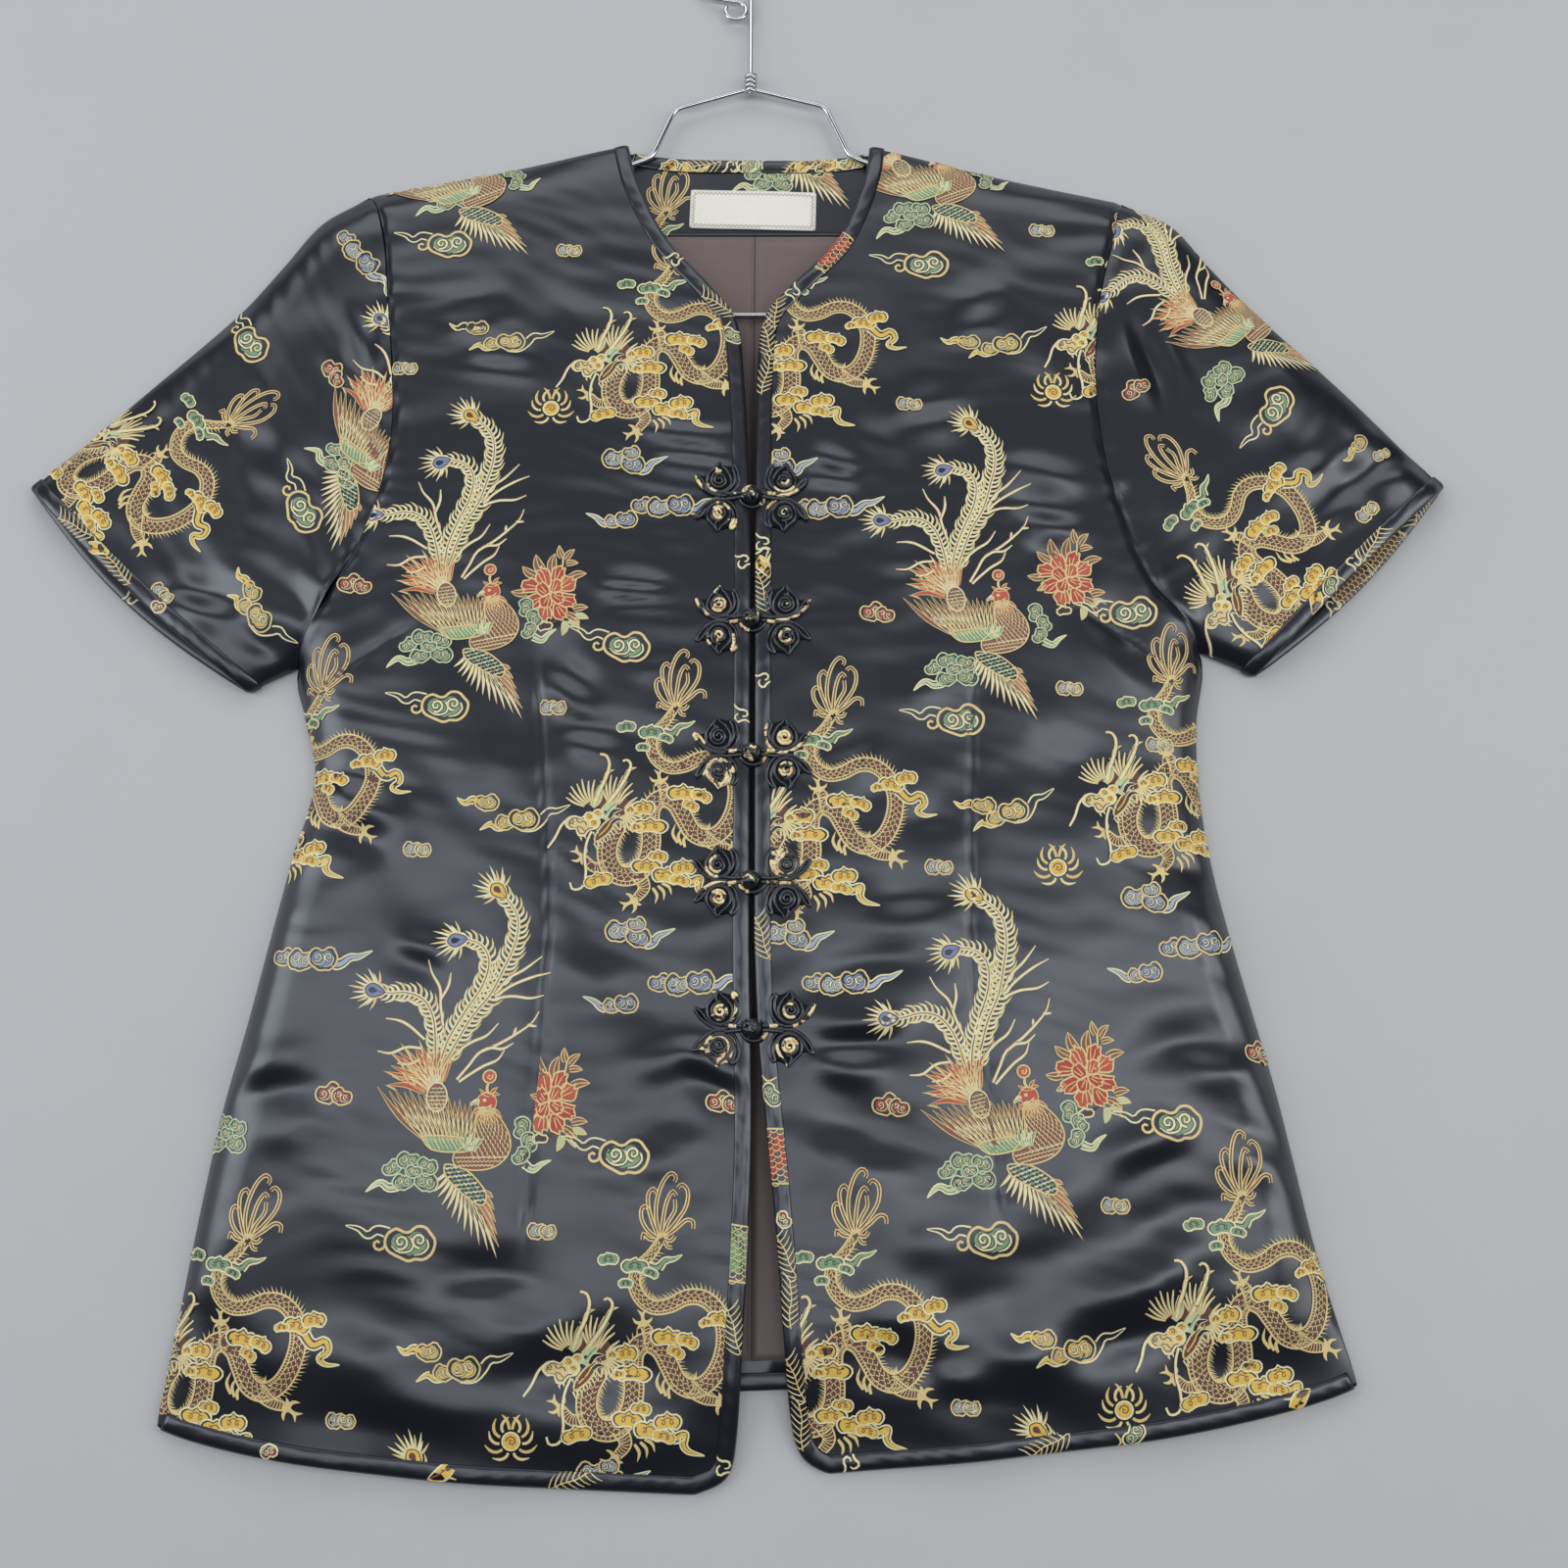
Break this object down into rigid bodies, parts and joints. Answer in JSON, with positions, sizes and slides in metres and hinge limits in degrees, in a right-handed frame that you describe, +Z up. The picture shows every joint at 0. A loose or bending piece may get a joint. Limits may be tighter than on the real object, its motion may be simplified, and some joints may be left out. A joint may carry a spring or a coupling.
{
  "type": "brocade qipao top on a wire hanger",
  "caption": "Short-sleeved brocade qipao top with frog fastenings, bound edges and waist darts, laid out flat with its wire hanger inside.",
  "frame": {"origin": "middle of the whole object's space in plan, on the plane that it lies on", "axes": "+Z up out of the cloth, +Y from the hem towards the neck and the hanger's hook, +X towards the wearer's left sleeve"},
  "size_m": [0.7016, 0.7724, 0.0241],
  "materials": {
    "brocade": "blue-black satin brocade with woven dragons, phoenixes, peonies and clouds",
    "binding": "flat bias binding of the same satin brocade",
    "lining": "plain taupe-brown lining twill",
    "label": "off-white woven label with a plain zigzag border",
    "frog_cord": "black satin rolled cord",
    "steel": "bright drawn steel wire"
  },
  "bodies": {
    "root": {"back_panel": "brocade", "lining_right": "lining", "lining_left": "lining", "neck_facing": "brocade", "neck_label": "label", "binding_back_neck": "binding", "binding_back_hem": "binding", "front_right": "brocade", "binding_front_right": "binding", "sleeve_right": "brocade", "binding_cuff_right": "binding", "front_left": "brocade", "binding_front_left": "binding", "sleeve_left": "brocade", "binding_cuff_left": "binding", "frog_1_right": "frog_cord", "frog_1_left": "frog_cord", "frog_1_knot": "frog_cord", "frog_2_right": "frog_cord", "frog_2_left": "frog_cord", "frog_2_knot": "frog_cord", "frog_3_right": "frog_cord", "frog_3_left": "frog_cord", "frog_3_knot": "frog_cord", "frog_4_right": "frog_cord", "frog_4_left": "frog_cord", "frog_4_knot": "frog_cord", "frog_5_right": "frog_cord", "frog_5_left": "frog_cord", "frog_5_knot": "frog_cord", "hanger_frame": "steel", "hanger_collar": "steel", "hanger_hook": "steel"}
  },
  "joints": []
}
